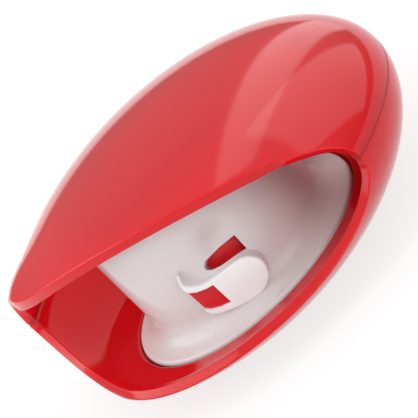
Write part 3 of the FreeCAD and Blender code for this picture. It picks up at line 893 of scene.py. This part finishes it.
@dataclass(frozen=True)
class Finish:
    """A surface finish with fine variation of colour, gloss and relief.

    The noise is read in object coordinates, so that it stays on the piece. A painted highlight lightens what
    lies near the plane of the bridge's face, from a start depth below it to full strength at a smaller depth
    below it;
    it stands in for the light that the raised face catches.
    """

    name: str
    base: tuple[float, float, float, float]
    shade: tuple[float, float, float, float]
    roughness: float
    roughness_spread: float
    metallic: float = 0.0
    ior: float = 1.41
    cloud_scale: float = 60.0
    cloud_detail: float = 3.0
    grain_scale: float = 2500.0
    grain_detail: float = 2.0
    relief: float = 0.00001
    stretch: tuple[float, float, float] = (1.0, 1.0, 1.0)
    subsurface: float = 0.0
    scatter_radius: tuple[float, float, float] = (1.0, 0.12, 0.10)
    scatter_scale: float = 6.0 * MM
    # Painted highlight: a lighter colour on the bridge's face, standing in for the light that the face
    # catches.
    painted_highlight: tuple[float, float, float, float] | None = None
    painted_highlight_start: float = 0.9 * MM
    painted_highlight_full: float = 0.2 * MM

    def with_painted_highlight(self, tree: bpy.types.NodeTree, place: bpy.types.Node,
               plain: bpy.types.NodeSocket) -> bpy.types.NodeSocket:
        """Paints a highlight on the flat face of the bridge, by the distance from the spool's axis along the
        way out.

        Args:
            tree: Node tree of the material.
            place: Node that gives object coordinates.
            plain: Colour of the rest.

        Returns:
            The mixed colour.
        """
        away = bridge_frame()[2]
        face = SPOOL.bridge_face + away[1] * SPOOL.axis_y
        out = tree.nodes.new("ShaderNodeVectorMath")
        out.operation = "DOT_PRODUCT"
        out.inputs[1].default_value = tuple(away)
        near = tree.nodes.new("ShaderNodeMapRange")
        near.inputs["From Min"].default_value = face - self.painted_highlight_start
        near.inputs["From Max"].default_value = face - self.painted_highlight_full
        mix = tree.nodes.new("ShaderNodeMix")
        mix.data_type = "RGBA"
        mix.inputs["B"].default_value = self.painted_highlight
        tree.links.new(place.outputs["Object"], out.inputs[0])
        tree.links.new(out.outputs["Value"], near.inputs["Value"])
        tree.links.new(near.outputs["Result"], mix.inputs["Factor"])
        tree.links.new(plain, mix.inputs["A"])
        return mix.outputs["Result"]

    def material(self) -> bpy.types.Material:
        """Makes the node material.

        Returns:
            The material.
        """
        made = bpy.data.materials.new(self.name)
        made.use_nodes = True
        nodes, links = made.node_tree.nodes, made.node_tree.links
        shader = nodes["Principled BSDF"]
        shader.inputs["Metallic"].default_value = self.metallic
        shader.inputs["IOR"].default_value = self.ior
        if self.subsurface > 0:
            shader.inputs["Subsurface Weight"].default_value = self.subsurface
            shader.inputs["Subsurface Radius"].default_value = self.scatter_radius
            shader.inputs["Subsurface Scale"].default_value = self.scatter_scale
        place = nodes.new("ShaderNodeTexCoord")
        mapping = nodes.new("ShaderNodeMapping")
        mapping.inputs["Scale"].default_value = self.stretch
        cloud = nodes.new("ShaderNodeTexNoise")
        cloud.inputs["Scale"].default_value = self.cloud_scale
        cloud.inputs["Detail"].default_value = self.cloud_detail
        grain = nodes.new("ShaderNodeTexNoise")
        grain.inputs["Scale"].default_value = self.grain_scale
        grain.inputs["Detail"].default_value = self.grain_detail
        mix = nodes.new("ShaderNodeMix")
        mix.data_type = "RGBA"
        mix.inputs["A"].default_value = self.base
        mix.inputs["B"].default_value = self.shade
        gloss = nodes.new("ShaderNodeMapRange")
        gloss.inputs["To Min"].default_value = self.roughness - self.roughness_spread
        gloss.inputs["To Max"].default_value = self.roughness + self.roughness_spread
        bump = nodes.new("ShaderNodeBump")
        bump.inputs["Strength"].default_value = 1.0
        bump.inputs["Distance"].default_value = self.relief
        links.new(place.outputs["Object"], mapping.inputs["Vector"])
        links.new(mapping.outputs["Vector"], cloud.inputs["Vector"])
        links.new(mapping.outputs["Vector"], grain.inputs["Vector"])
        links.new(cloud.outputs["Fac"], mix.inputs["Factor"])
        plain = mix.outputs["Result"]
        # Painted highlight on the bridge's face, where the finish has one.
        with_painted_highlight = self.with_painted_highlight(made.node_tree, place, plain) if self.painted_highlight else plain
        links.new(with_painted_highlight, shader.inputs["Base Color"])
        links.new(cloud.outputs["Fac"], gloss.inputs["Value"])
        links.new(gloss.outputs["Result"], shader.inputs["Roughness"])
        links.new(grain.outputs["Fac"], bump.inputs["Height"])
        links.new(bump.outputs["Normal"], shader.inputs["Normal"])
        return made


RED = Finish("red_gloss_plastic", colour(206, 24, 33), colour(200, 20, 29), 0.10, 0.02, relief=0.000002,
             subsurface=1.0)
HUB = Finish("red_satin_plastic", colour(222, 29, 38), colour(214, 24, 33), 0.28, 0.05, relief=0.000006)
WHITE = Finish("white_gloss_plastic", colour(226, 220, 220), colour(220, 213, 213), 0.16, 0.03,
               relief=0.000002)
# The bridge's white: the core's plastic with a painted highlight on its face, for the light that the face
# catches.
WHITE_WITH_PAINTED_HIGHLIGHT = Finish("white_plastic_painted_highlight", colour(226, 220, 220), colour(220, 213, 213), 0.14, 0.02,
                relief=0.000002, painted_highlight=colour(249, 252, 252))
ACETAL = Finish("natural_acetal", colour(238, 236, 228), colour(228, 225, 215), 0.42, 0.06, relief=0.000008)
STEEL = Finish("plated_steel", colour(186, 187, 190), colour(166, 167, 171), 0.26, 0.08, 1.0,
               stretch=(1.0, 1.0, 14.0), relief=0.000008)
RUBBER = Finish("black_rubber", colour(38, 38, 40), colour(28, 28, 30), 0.72, 0.10, relief=0.00003)


@dataclass
class Fittings:
    """The pieces kept from the frame, each with its finish."""

    finishes: dict[str, Finish] = field(default_factory=lambda: {
        "hub_drum": HUB, "core_cap": WHITE, "turning_dial": WHITE, "dial_cap": HUB, "dial_screw": STEEL,
        "shell_screws": STEEL, "axle_pin": STEEL, "drag_washer": STEEL, "thrust_washer": ACETAL,
        "spool_bush": ACETAL, "foot_ring": RUBBER})

    def dress(self, made: dict[str, bpy.types.Material]) -> list[bpy.types.Object]:
        """Gives each kept piece its material.

        Args:
            made: Materials by name.

        Returns:
            The dressed pieces.
        """
        pieces = []
        for node, finish in self.finishes.items():
            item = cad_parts[node]
            item.data.materials.clear()
            item.data.materials.append(made[finish.name])
            pieces.append(item)
        return pieces


@dataclass
class Viewpoint:
    """The camera, far away with a long lens, turned about its line of sight."""

    azimuth: float = math.radians(42.0)
    elevation: float = math.radians(22.4)
    roll: float = math.radians(45.5)
    frame_width: float = 69.754 * MM
    shift_right: float = 0.079 * MM
    shift_up: float = -0.367 * MM
    lens: float = 1600.0
    sensor: float = 36.0
    nearest: float = 0.1
    farthest: float = 100.0

    def axes(self) -> tuple[Vector, Vector, Vector]:
        """Directions of the level view.

        Returns:
            The way right, the way up and the way back to the camera.
        """
        a, e = self.azimuth, self.elevation
        right = Vector((math.cos(a), math.sin(a), 0.0))
        up = Vector((-math.sin(a) * math.sin(e), math.cos(a) * math.sin(e), math.cos(e)))
        back = Vector((math.sin(a) * math.cos(e), -math.cos(a) * math.cos(e), math.sin(e)))
        return right, up, back

    def build(self) -> bpy.types.Object:
        """Makes the camera and sets it as the scene's.

        Returns:
            The camera.
        """
        right, up, back = self.axes()
        data = bpy.data.cameras.new("camera")
        data.sensor_width = self.sensor
        data.lens = self.lens
        camera = bpy.data.objects.new("camera", data)
        bpy.context.scene.collection.objects.link(camera)
        across = right * math.cos(self.roll) - up * math.sin(self.roll)
        above = right * math.sin(self.roll) + up * math.cos(self.roll)
        distance = self.frame_width * self.lens / data.sensor_width
        target = Vector((0, 0, SHELL.seam_z)) + right * self.shift_right + up * self.shift_up
        turn = Matrix((across, above, back)).transposed().to_4x4()
        camera.matrix_world = Matrix.Translation(target + back * distance) @ turn
        data.clip_start, data.clip_end = self.nearest, self.farthest
        bpy.context.scene.camera = camera
        return camera


@dataclass
class Softbox:
    """A rectangular lamp that faces the object."""

    name: str
    place: tuple[float, float, float]
    width: float
    height: float
    watts: float
    target: tuple[float, float, float] = (0.0, 0.0, 0.018)
    mirrored: bool = True

    def build(self) -> bpy.types.Object:
        """Makes the lamp.

        Returns:
            The lamp.
        """
        data = bpy.data.lights.new(self.name, "AREA")
        data.shape = "RECTANGLE"
        data.size, data.size_y = self.width, self.height
        data.energy = self.watts
        lamp = bpy.data.objects.new(self.name, data)
        lamp.location = self.place
        lamp.rotation_euler = (Vector(self.target) - Vector(self.place)).to_track_quat("-Z", "Y").to_euler()
        lamp.visible_camera = False
        lamp.visible_glossy = self.mirrored
        bpy.context.scene.collection.objects.link(lamp)
        return lamp


@dataclass
class Studio:
    """Pale floor, a sky that is brighter overhead, and soft lamps outside and inside the shell."""

    low_sky: float = 0.25
    high_sky: float = 1.00
    floor_colour: float = 0.80
    floor_glow: float = 0.79
    floor_seen: float = 0.20
    floor_roughness: float = 0.9
    floor_reach: float = 40.0
    lamps: tuple[Softbox, ...] = (
        Softbox("key_box", (-0.580, -0.335, 0.436), 1.10, 0.60, 3.2),
        Softbox("fill_box", (0.650, -0.330, 0.330), 0.80, 0.56, 1.7),
        Softbox("strip_box", (-0.254, 0.779, 0.574), 0.225, 1.35, 1.15),
        Softbox("back_box", (0.308, 0.748, 0.588), 0.93, 1.00, 2.9),
        Softbox("left_glow", (-0.029, 0.010, 0.020), 0.009, 0.013, 0.00022, (-0.030, -0.012, 0.009)),
        Softbox("left_fill", (-0.023, 0.006, 0.022), 0.012, 0.012, 0.0011, (-0.030, -0.012, 0.009), False),
        Softbox("right_glow", (0.020, 0.018, 0.022), 0.012, 0.012, 0.0014, (0.015, 0.013, 0.007), False),
    )

    def seen(self, nodes: bpy.types.Nodes, links: bpy.types.NodeLinks,
             kinds: tuple[str, ...]) -> bpy.types.NodeSocket:
        """Tells whether a ray is one of some kinds.

        Args:
            nodes: Nodes of the tree.
            links: Links of the tree.
            kinds: Output names of the light path node.

        Returns:
            A socket that gives 1 for those rays and 0 for others.
        """
        path = nodes.new("ShaderNodeLightPath")
        socket = path.outputs[kinds[0]]
        for kind in kinds[1:]:
            most = nodes.new("ShaderNodeMath")
            most.operation = "MAXIMUM"
            links.new(socket, most.inputs[0])
            links.new(path.outputs[kind], most.inputs[1])
            socket = most.outputs[0]
        return socket

    def surroundings(self) -> None:
        """A sky that is brighter overhead, the same for every kind of ray."""
        world = bpy.data.worlds.new("surroundings")
        bpy.context.scene.world = world
        world.use_nodes = True
        nodes, links = world.node_tree.nodes, world.node_tree.links
        place = nodes.new("ShaderNodeTexCoord")
        split = nodes.new("ShaderNodeSeparateXYZ")
        sky = nodes.new("ShaderNodeMapRange")
        sky.inputs["To Min"].default_value = self.low_sky
        sky.inputs["To Max"].default_value = self.high_sky
        links.new(place.outputs["Generated"], split.inputs["Vector"])
        links.new(split.outputs["Z"], sky.inputs["Value"])
        links.new(sky.outputs["Result"], nodes["Background"].inputs["Strength"])
        nodes["Background"].inputs["Color"].default_value = (1.0, 1.0, 1.0, 1.0)

    def floor(self) -> bpy.types.Object:
        """A wide pale floor that keeps the object's shadow and is white to the camera and in reflections.

        Returns:
            The floor.
        """
        mesh = bpy.data.meshes.new("floor")
        far = self.floor_reach
        mesh.from_pydata([(-far, -far, 0), (far, -far, 0), (far, far, 0), (-far, far, 0)], [], [(0, 1, 2, 3)])
        item = bpy.data.objects.new("floor", mesh)
        bpy.context.scene.collection.objects.link(item)
        made = bpy.data.materials.new("pale_floor")
        made.use_nodes = True
        nodes, links = made.node_tree.nodes, made.node_tree.links
        shader = nodes["Principled BSDF"]
        shader.inputs["Roughness"].default_value = self.floor_roughness
        shader.inputs["Specular IOR Level"].default_value = 0.0
        shader.inputs["Emission Color"].default_value = (1.0, 1.0, 1.0, 1.0)
        mix = nodes.new("ShaderNodeMix")
        mix.data_type = "RGBA"
        mix.inputs["A"].default_value = (self.floor_colour,) * 3 + (1.0,)
        mix.inputs["B"].default_value = (self.floor_seen,) * 3 + (1.0,)
        glow = nodes.new("ShaderNodeMapRange")
        glow.inputs["To Max"].default_value = self.floor_glow
        seen = self.seen(nodes, links, ("Is Camera Ray", "Is Glossy Ray", "Is Transmission Ray"))
        links.new(seen, mix.inputs["Factor"])
        links.new(seen, glow.inputs["Value"])
        links.new(mix.outputs["Result"], shader.inputs["Base Color"])
        links.new(glow.outputs["Result"], shader.inputs["Emission Strength"])
        mesh.materials.append(made)
        return item

    def build(self) -> None:
        """Builds the studio."""
        bpy.context.scene.view_settings.view_transform = "Standard"
        self.surroundings()
        self.floor()
        for lamp in self.lamps:
            lamp.build()


def main() -> None:
    """Builds and dresses every piece, then the studio and the camera."""
    logging.basicConfig(level=logging.INFO, format="%(message)s")
    finishes = (RED, HUB, WHITE, WHITE_WITH_PAINTED_HIGHLIGHT, ACETAL, STEEL, RUBBER)
    made = {finish.name: finish.material() for finish in finishes}
    built = [(UpperShell(), RED), (LowerShell(), RED), (SpoolCore(), WHITE), (CordBridge(), WHITE_WITH_PAINTED_HIGHLIGHT),
             (GripPad(), HUB)]
    pieces = [(part.build(), finish) for part, finish in built]
    pieces += [(post, RED) for post in ShellPosts().build()]
    for item, finish in pieces:
        item.data.materials.clear()
        item.data.materials.append(made[finish.name])
        LOG.info("%s: %d faces", item.name, len(item.data.polygons))
    for item in Fittings().dress(made):
        LOG.info("%s dressed", item.name)
    Studio().build()
    Viewpoint().build()


if __name__ == "__main__":
    main()
